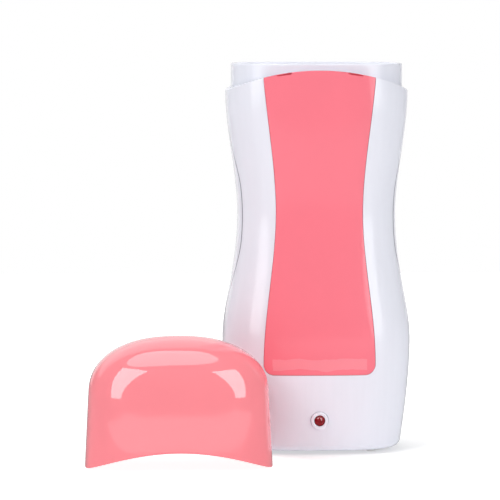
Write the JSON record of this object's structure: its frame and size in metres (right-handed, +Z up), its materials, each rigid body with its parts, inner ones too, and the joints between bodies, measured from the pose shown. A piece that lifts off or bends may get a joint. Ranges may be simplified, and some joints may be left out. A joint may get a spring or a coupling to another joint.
{
  "type": "wax warmer",
  "caption": "Free-standing roll-on wax warmer with a waisted oval housing, a coloured front panel, an oval cartridge well and a lift-off domed cap.",
  "frame": {"origin": "centre of the housing, in plan, on the surface that it stands on", "axes": "+Z up, the front panel and pilot lamp face -Y, and +X is to the right as the front is seen"},
  "size_m": [0.138, 0.1113, 0.1643],
  "materials": {
    "white_shell": "gloss",
    "pink_panel": "gloss",
    "pink_cap": "gloss",
    "lamp_red": "gloss",
    "foot_rubber": "matte",
    "steel": "satin",
    "heat_aluminium": "satin",
    "contact_brass": "satin",
    "board_laminate": "matte",
    "heater_ceramic": "matte",
    "part_ceramic": "matte",
    "amber_film": "gloss",
    "black_plastic": "matte",
    "brown_wire": "matte",
    "blue_wire": "matte",
    "red_wire": "matte",
    "splice_nylon": "matte"
  },
  "bodies": {
    "warmer": {"front_shell": "white_shell", "rear_shell": "white_shell", "front_panel": "pink_panel", "cartridge_well": "white_shell", "base_plate": "white_shell", "feet": "foot_rubber", "lamp_bezel": "white_shell", "pilot_lamp": "lamp_red", "lamp_leads": "steel", "lamp_board": "board_laminate", "lamp_resistor": "part_ceramic", "lamp_diode": "black_plastic", "board_screws": "steel", "heat_plate": "heat_aluminium", "insulation_sheet": "amber_film", "heater_element": "heater_ceramic", "heater_clip": "steel", "clip_screws": "steel", "thermostat": "black_plastic", "thermal_fuse": "part_ceramic", "power_inlet": "black_plastic", "inlet_pins": "contact_brass", "inlet_screws": "steel", "live_wire": "brown_wire", "neutral_wire": "blue_wire", "fuse_wire": "brown_wire", "element_wire": "brown_wire", "lamp_wires": "red_wire", "wire_splices": "splice_nylon", "case_screws": "steel", "base_screws": "steel"},
    "cap": {"cap": "pink_cap"}
  },
  "joints": [
    {"name": "cap_lift", "type": "slide", "parent": "warmer", "child": "cap", "axis": [0, 0, 1], "range_m": [0, 0.18]}
  ]
}
